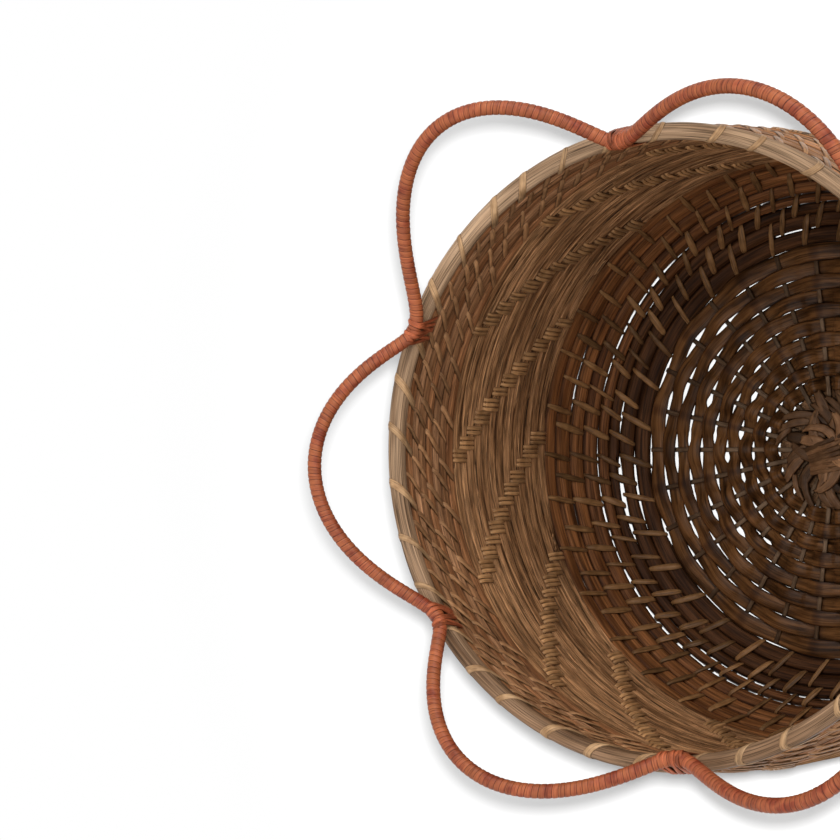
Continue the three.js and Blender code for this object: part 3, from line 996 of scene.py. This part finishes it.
def woven_strip(index, node, middle_height):
    """One row of flat strip, woven over and under the sticks of the base."""
    section = ring_section(node, PLAIN_AZIMUTH)
    at_stick = ring_section(node, 0)
    swing = at_stick[:, 1].mean() - middle_height
    inner, outer = section[:, 0].min(), section[:, 0].max()
    if index == len(WEAVERS):
        outer += 1.5 * MM
    middle, half = (inner + outer) / 2, (outer - inner) / 2 + 0.6 * MM

    mesh, azimuths, turns, order = new_ring(16)
    across = np.cos(turns)
    gap_in = 0.58 * openings(azimuths, BASE_HOLES, index, SEED_BASE_HOLES)
    gap_out = 0.58 * openings(azimuths, BASE_HOLES, index + 1, SEED_BASE_HOLES)
    reach = half - np.where(across > 0, gap_out, gap_in)
    bend = 0.5 * MM * drift(azimuths, SEED_BASE_BENDS + index, (5, 11, 17))
    radii = middle + across * reach + bend * (1 - across ** 2)

    # The strip rides up over every second stick, domed on top, with soft folds along it that shift.
    crest = np.cos(azimuths * SPOKES / 2)
    shift = 3 * drift(azimuths, SEED_BASE_FOLDS + index, (4, 9, 14))
    fold = 0.32 * MM * np.sin(3 * across * math.pi + shift)
    dome = 1.1 + 0.9 * np.clip(crest, 0, 1) ** 0.7 * (turns > 0)
    heights = middle_height + swing * signed_power(crest, 0.8) + fold
    heights = heights + np.sin(turns) * (dome + 0.08 * (order % 2)) * MM
    # Painted shade: the strip is painted darker towards its edges and where it dives under a stick.
    dive_shade = 0.9 * np.clip(-crest, 0, 1) ** 1.5
    place_ring(mesh, azimuths, radii, np.maximum(heights, 0.1 * MM), np.maximum(np.abs(across), dive_shade))
    return mesh


class BASKET_OT_base(bpy.types.Operator):
    """Make the flat sticks of the base and the strips woven round them"""

    bl_idname = "basket.base"
    bl_label = "Woven base"

    def execute(self, context):
        colours = context.scene.basket_colours
        low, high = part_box("base_spokes")
        middle_height = (low.z + high.z) / 2
        # Strips shaved flat and stained dark: light glances off them, and the stain took unevenly.
        strips = strand_material(
            "rattan strip, shaved flat and stained dark", colours.weaver[:], 70 * MM, 1.5 * MM,
            0.42, 0.3, 0.5, 0.2, 1.3, 0.12,
        )
        for index, node in enumerate(WEAVERS, 1):
            dress(woven_strip(index, node, middle_height), f"{node}_strip", strips, [node])

        # Sticks weathered grey: dull, and paler than the strips round them.
        sticks = peel_material("rattan stick, split and weathered grey", colours.spoke[:], 0.6)
        inner_end, outer_end = 8 * MM, high.x - 0.2 * MM
        sized = Matrix.Translation(((inner_end + outer_end) / 2, 0, middle_height)) @ Matrix.Diagonal(
            (outer_end - inner_end, 3.2 * MM, 2.1 * MM, 1)
        )
        places = [Matrix.Rotation(spoke * TURN / SPOKES, 4, "Z") @ sized for spoke in range(SPOKES)]
        dress(stick_mesh(places, "base_sticks"), "base_sticks", sticks, ["base_spokes"])
        return {"FINISHED"}


# Layers of folded strips at the centre, from the base up: how many, then in millimetres where they start
# and end, how far they twist in radians, their width and lift in millimetres, and their share of the tone,
# which paints lit and shaded copies of one tan: the top layer paler, the layers under it darker.
CENTRE_LAYERS = (
    (17, 27, 40.5, 0.42, 8.5, 0.5, 0.9),
    (13, 13, 34, 0.5, 9.5, 0.4, 0.5),
    (10, 8, 29, -0.8, 9.5, 1.4, 0.95),
    (6, 5, 24, 1.0, 9.5, 2.3, 1.6),
)
CROSSING_STICKS = 7


def centre_fold(layer, number, base_height, slips):
    """One folded strip of a layer at the centre, which humps up between its ends. Its slips, from -1 to 1,
    are those of its start, its end, its height, its hump and its azimuth."""
    count, inner, outer, twist, width, lift, _ = layer
    start_slip, end_slip, height_slip, hump_slip, azimuth_slip = slips
    start = inner * MM * (1 + 0.25 * start_slip)
    end = outer * MM * (1 + 0.06 * end_slip)
    floor_height = base_height + (lift + 0.35 * (height_slip + 1)) * MM
    points = np.array([
        (start, floor_height),
        (end, floor_height),
        (start + 1.5 * MM, floor_height + 1.5 * MM),
        ((start + end) / 2, floor_height + (2.0 + 0.4 * hump_slip) * MM),
        (end - 2.5 * MM, floor_height + 0.9 * MM),
    ])
    azimuth = (number + 0.55 * azimuth_slip) * TURN / count
    turned = azimuth + twist * (1 + 0.8 * hump_slip)
    outwards = np.array((1, 0))
    return band(points, outwards, FOLD_STATIONS, turned, azimuth, width * MM, 0.8 * MM, 0.5)


class BASKET_OT_centre(bpy.types.Operator):
    """Make the folded strips and the crossing sticks that bind the centre of the base"""

    bl_idname = "basket.centre"
    bl_label = "Centre binding"

    def execute(self, context):
        knot = context.scene.basket_colours.knot[:]
        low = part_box("centre_binding_upper")[0]
        # Strips folded double: each layer is a painted copy of the same tan, the top one paler as if lit and
        # those under it darker as if shaded, so that the layers can be told apart.
        for level, layer in enumerate(CENTRE_LAYERS, 1):
            count, tone = layer[0], layer[-1]
            slips = np.random.default_rng(SEED_CENTRE_FOLDS + level).uniform(-1, 1, (count, 5))
            folds = [centre_fold(layer, number, low.z, own) for number, own in enumerate(slips)]
            name = f"centre_folds_{level:02d}"
            peel = peel_material(f"rattan strip, folded {level}", scaled(knot, tone), 0.45, 0.4)
            replaced = ["centre_binding_upper"] if level == 1 else []
            dress(straps(folds, name, FOLDED), name, peel, replaced)

        # Split sticks: dull, and each of another tone.
        sticks = peel_material("rattan stick, split", knot, 0.55, 0.45)
        places = []
        for stick in range(CROSSING_STICKS):
            way = Matrix.Rotation(from_camera(18 + 2 * (stick - 3)), 4, "Z")
            spot = Matrix.Translation((0, (stick - 4) * 3.2 * MM, low.z + 4.2 * MM))
            places.append(way @ spot @ Matrix.Diagonal((34 * MM, 3.3 * MM, 1.7 * MM, 1)))
        dress(stick_mesh(places, "centre_cross"), "centre_cross", sticks)

        # A strip bound flat, turn by turn: short clear streaks.
        strips = strand_material("rattan strip, bound flat", knot, 9 * MM, 1.1 * MM, 0.4, 0.5, 0.5)
        under = bound_disc("centre_under", "centre_binding_lower")
        dress(under, "centre_under", strips, ["centre_binding_lower"])
        return {"FINISHED"}


def bound_disc(name, node):
    """A flat bound disc in a solid's place: rounded at its edge, with a rib for each turn of the binding."""
    low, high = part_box(node)
    radius = high.x
    rings = 14
    rib = 0.35 * MM
    spots = [(0.0, high.z)]
    spots += [(radius * ring / rings, high.z - rib * (ring % 2)) for ring in range(1, rings + 1)]
    spots += [(radius, low.z + 0.3 * MM), (radius - 0.5 * MM, low.z), (0.0, low.z)]
    bm = bmesh.new()
    verts = [bm.verts.new((x, 0, z)) for x, z in spots]
    edges = [bm.edges.new(pair) for pair in zip(verts, verts[1:])]
    spin_round(bm, verts + edges, 72)
    bmesh.ops.remove_doubles(bm, verts=bm.verts[:], dist=1e-6)
    bmesh.ops.recalc_face_normals(bm, faces=bm.faces[:])
    return mesh_of(bm, name)


def petal_middle(petal, share):
    """A point on a petal rod's middle line, by the share of the way between its two lashings."""
    size, lean = PETALS[petal]
    size = size * MM
    seat_radius = (rim_low[0] + rim_high[0]) / 2 - PETAL_INSET
    seat_height = rim_high[1] + PETAL_SEAT_LIFT
    slope = math.pi * size / (TURN / len(PETALS) * seat_radius)
    rounding = slope ** 2 * PETAL_ELBOW * MM
    bow = math.sin(math.pi * share * (1 + lean * (1 - share)))
    grown = (math.hypot(bow * size, rounding) - rounding) / (math.hypot(size, rounding) - rounding)
    azimuth = (petal + share) * TURN / len(PETALS)
    radius = seat_radius + size * grown * math.cos(PETAL_TILT)
    height = seat_height + size * grown * math.sin(PETAL_TILT)
    return Vector((radius * math.cos(azimuth), radius * math.sin(azimuth), height))


def even_shares(petal, station_length):
    """Shares of the way along a petal rod that lie evenly spread, and their distances from its start."""
    steps = 400
    trial = [petal_middle(petal, step / steps) for step in range(steps + 1)]
    lengths = np.concatenate([[0], np.cumsum([(b - a).length for a, b in zip(trial, trial[1:])])])
    cut = 0.15 * MM
    stations = int(lengths[-1] / station_length)
    distances = np.linspace(cut, lengths[-1] - cut, stations + 1)
    return np.interp(distances, lengths, np.linspace(0, 1, steps + 1)), distances


def wound_rod(petal, name, pitch, rod_radius):
    """A petal rod with peel wound round it: each turn is a low ridge with a groove beside it. Its Grain map
    counts the turns along the rod, each rod on its own stretch of the pattern, and runs once round it."""
    shares, distances = even_shares(petal, 0.5 * MM)
    middles = [petal_middle(petal, share) for share in shares]
    stations = len(shares) - 1
    around = 16
    # The hand winds a little closer here and a little wider there.
    slips = 0.35 * np.sin(distances / (23 * MM) + petal) + 0.2 * np.sin(distances / (9 * MM) + 2 * petal)
    wound = distances / pitch + slips

    bm = bmesh.new()
    grain = bm.loops.layers.uv.new("Grain")
    bmesh.ops.create_grid(bm, x_segments=around, y_segments=stations, size=1, calc_uvs=True)
    grid = {
        vert: (round((vert.co.x + 1) / 2 * around), round((vert.co.y + 1) / 2 * stations))
        for vert in bm.verts
    }
    for face in bm.faces:
        for loop in face.loops:
            column, station = grid[loop.vert]
            loop[grain].uv = (wound[station] + column / around + 50 * petal, column / around)
    for vert, (column, station) in grid.items():
        ahead = middles[min(station + 1, stations)] - middles[max(station - 1, 0)]
        ahead.normalize()
        out = Vector((middles[station].x, middles[station].y, 0)).normalized()
        across = ahead.cross(out).normalized()
        up = across.cross(ahead).normalized()
        angle = column / around * TURN
        part = (wound[station] + column / around) % 1
        groove = 0.3 * MM * math.exp(-((min(part, 1 - part) / 0.13) ** 2))
        lip = 0.12 * MM * (0.5 - part)
        radius = float(rod_radius - 0.1 * MM - groove + lip)
        vert.co = middles[station] + radius * (math.cos(angle) * up + math.sin(angle) * across)
    bmesh.ops.remove_doubles(bm, verts=bm.verts[:], dist=1e-6)
    bmesh.ops.holes_fill(bm, edges=[edge for edge in bm.edges if edge.is_boundary], sides=0)
    bmesh.ops.recalc_face_normals(bm, faces=bm.faces[:])
    return mesh_of(bm, name)


class BASKET_OT_petals(bpy.types.Operator):
    """Make the petal rods with the peel wound round them"""

    bl_idname = "basket.petals"
    bl_label = "Petal rods"

    def execute(self, context):
        sizes, colours = context.scene.basket_sizes, context.scene.basket_colours
        # Dyed peel, wound: the reddest surface of the basket, turn by turn a little different.
        peel = winding_material(
            "dyed rattan peel, wound", colours.peel[:], sizes.turn_pitch, sizes.rod_radius
        )
        for petal, node in enumerate(RODS):
            name = f"{node}_wound"
            dress(wound_rod(petal, name, sizes.turn_pitch, sizes.rod_radius), name, peel, [node])
        return {"FINISHED"}


def lashing_turn(azimuth, lashing, offset, slant, sizes):
    """One turn of a lashing, so far along the rods from its middle: round the rod, the rim and the highest
    coil."""
    count = len(PETALS)
    share = abs(offset) / (rim_high[0] * TURN / count)
    petal = lashing if offset >= 0 else (lashing - 1) % count
    middle = petal_middle(petal, share if offset >= 0 else 1 - share)
    radius = math.hypot(middle.x, middle.y)
    angles = np.arange(16) * TURN / 16
    circle = np.stack([np.cos(angles), np.sin(angles)], axis=1)
    rod = np.array((radius, middle.z)) + sizes.rod_radius * circle
    points = np.vstack([rod, rows[-1].outline(0.3 * MM), rim_outline(0.4 * MM)])
    spot = azimuth + offset / radius
    lean = slant / radius
    upright = np.array((0, 1))
    width = sizes.lashing_width
    return band(points, upright, LASHING_STATIONS, spot + lean, spot - lean, width, 0.7 * MM, 0.15)


class BASKET_OT_lashings(bpy.types.Operator):
    """Make the turns of peel that lash the petal rods to the rim"""

    bl_idname = "basket.lashings"
    bl_label = "Lashings"

    def execute(self, context):
        sizes, colours = context.scene.basket_sizes, context.scene.basket_colours
        # The same dyed peel, lashed: flat turns with painted shade along their edges, and each of another
        # tone.
        peel = peel_material("dyed rattan peel, lashed", colours.peel[:], 0.45)
        for lashing, node in enumerate(LASHINGS):
            azimuth = lashing * TURN / len(PETALS)
            slips = jitter(SEED_LASHINGS + lashing, LASHING_TURNS, 0.5)
            bands = []
            for turn, slip in enumerate(slips):
                offset = ((turn - (LASHING_TURNS - 1) / 2) * LASHING_SPACING + slip) * MM
                slant = slips[(turn + 2) % LASHING_TURNS] * 6 * MM
                bands.append(lashing_turn(azimuth, lashing, offset, slant, sizes))
            dress(straps(bands, node), f"{node}_turns", peel, [node])
        return {"FINISHED"}


def camera_matrix():
    """The camera's place and turn, from where the rim's centre shows in the picture."""
    back = Vector((math.cos(VIEW_ELEVATION), 0, math.sin(VIEW_ELEVATION)))
    right = Vector((math.sin(VIEW_ELEVATION), 0, -math.cos(VIEW_ELEVATION)))
    up = Vector((0, 1, 0))
    c, s = math.cos(VIEW_ROLL), math.sin(VIEW_ROLL)
    right, up = c * right - s * up, s * right + c * up
    focal = LENS / SENSOR * PICTURE
    across = (RIM_CENTRE_SHOWN[0] - PICTURE / 2) / focal * VIEW_DISTANCE
    upward = -(RIM_CENTRE_SHOWN[1] - PICTURE / 2) / focal * VIEW_DISTANCE
    aim = Vector((0, 0, RIM_HEIGHT))
    place = aim - across * right - upward * up + VIEW_DISTANCE * back
    turned = Matrix((right, up, back)).transposed().to_4x4()
    return Matrix.Rotation(-FACING, 4, "Z") @ Matrix.Translation(place) @ turned


def stage_floor(scene):
    """A floor of white paper, far larger than the picture."""
    bm = bmesh.new()
    bmesh.ops.create_grid(bm, x_segments=1, y_segments=1, size=4)
    mesh = mesh_of(bm, "floor")
    mesh.materials.append(floor_material("white paper, uncoated", scene.basket_colours.floor[:]))
    floor = bpy.data.objects.new("floor", mesh)
    scene.collection.objects.link(floor)
    return floor


def stage_lamps(scene, floor):
    """A key and a fill light kept off the paper, so that their long shadows don't show, and a small lamp
    close to the camera for the paper alone, whose shadow is the soft edge beside the basket."""
    turned = Matrix.Rotation(-FACING, 4, "Z")
    key_place = turned @ Vector((0.2, 1.4, 1.3))
    fill_place = turned @ Vector((1.1, 0.7, 1.25))
    body_middle = Vector((0, 0, 0.15))
    paper_place = camera_matrix() @ Vector((0.004, 0.028, 0))
    picture_middle = camera_matrix() @ Vector((0, 0, -1))
    lamps = (
        ("key", key_place, body_middle, 1.0, 11, "EXCLUDE"),
        ("fill", fill_place, body_middle, 1.0, 8, "EXCLUDE"),
        ("paper", paper_place, picture_middle, 0.05, 54, "INCLUDE"),
    )
    for name, place, aim, size, power, floor_state in lamps:
        lamp = bpy.data.lights.new(name, "AREA")
        lamp.size = size
        lamp.energy = power
        holder = bpy.data.objects.new(name, lamp)
        scene.collection.objects.link(holder)
        turn = (aim - place).to_track_quat("-Z", "Y").to_matrix().to_4x4()
        holder.matrix_world = Matrix.Translation(place) @ turn
        linked = bpy.data.collections.new(f"{name} light on the floor")
        linked.objects.link(floor)
        holder.light_linking.receiver_collection = linked
        linked.collection_objects[0].light_linking.link_state = floor_state


def stage_room(scene):
    """A studio with a bright soft ceiling and dim sides, that the camera sees as plain white."""
    world = bpy.data.worlds.new("room")
    world.use_nodes = True
    tree = world.node_tree
    ceiling = Matrix.Rotation(-FACING, 4, "Z") @ Vector((0.1, -0.2, 0.97))
    way = add(tree, "TexCoord").outputs["Generated"]
    facing = add(tree, "VectorMath", {0: way, 1: ceiling}, operation="DOT_PRODUCT").outputs["Value"]
    facing = add(tree, "Math", {0: facing, 1: 0.0}, operation="MAXIMUM")
    light = add(tree, "Math", {0: facing, 1: 1.55, 2: 0.05}, operation="MULTIPLY_ADD")
    strength = add(tree, "Mix", {0: seen_directly(tree), 2: light, 3: 1.0})
    background = tree.nodes["Background"]
    background.inputs[0].default_value = (1, 1, 1, 1)
    tree.links.new(strength.outputs[0], background.inputs[1])
    scene.world = world


def stage_camera(scene):
    """The camera of the photograph, without any grading of the picture."""
    data = bpy.data.cameras.new("camera")
    data.lens = LENS
    data.sensor_width = SENSOR
    camera = bpy.data.objects.new("camera", data)
    scene.collection.objects.link(camera)
    camera.matrix_world = camera_matrix()
    scene.camera = camera
    scene.view_settings.view_transform = "Standard"


class BASKET_OT_stage(bpy.types.Operator):
    """Make the floor, the soft light and the camera"""

    bl_idname = "basket.stage"
    bl_label = "Floor, light and camera"

    def execute(self, context):
        floor = stage_floor(context.scene)
        stage_lamps(context.scene, floor)
        stage_room(context.scene)
        stage_camera(context.scene)
        return {"FINISHED"}


OPERATORS = (
    BASKET_OT_rim,
    BASKET_OT_upper_wall,
    BASKET_OT_stepped_wall,
    BASKET_OT_lower_wall,
    BASKET_OT_base,
    BASKET_OT_centre,
    BASKET_OT_petals,
    BASKET_OT_lashings,
    BASKET_OT_stage,
)


class BASKET_PT_panel(bpy.types.Panel):
    """Lists the basket's pieces, sizes and colours"""

    bl_idname = "BASKET_PT_panel"
    bl_label = "Basket"
    bl_space_type = "VIEW_3D"
    bl_region_type = "UI"
    bl_category = "Basket"

    def draw(self, context):
        for operator in OPERATORS:
            self.layout.operator(operator.bl_idname)
        for group in (context.scene.basket_sizes, context.scene.basket_colours):
            for name in group.bl_rna.properties.keys():
                if name not in {"rna_type", "name"}:
                    self.layout.prop(group, name)


CLASSES = (BasketSizes, BasketColours) + OPERATORS + (BASKET_PT_panel,)


def register():
    for cls in CLASSES:
        bpy.utils.register_class(cls)
    bpy.types.Scene.basket_sizes = bpy.props.PointerProperty(type=BasketSizes)
    bpy.types.Scene.basket_colours = bpy.props.PointerProperty(type=BasketColours)


def unregister():
    del bpy.types.Scene.basket_colours
    del bpy.types.Scene.basket_sizes
    for cls in reversed(CLASSES):
        bpy.utils.unregister_class(cls)


def main():
    """Builds the basket and its stage."""
    register()
    bpy.ops.basket.rim()
    bpy.ops.basket.upper_wall()
    bpy.ops.basket.stepped_wall()
    bpy.ops.basket.lower_wall()
    bpy.ops.basket.base()
    bpy.ops.basket.centre()
    bpy.ops.basket.petals()
    bpy.ops.basket.lashings()
    bpy.ops.basket.stage()


if __name__ == "__main__":
    main()
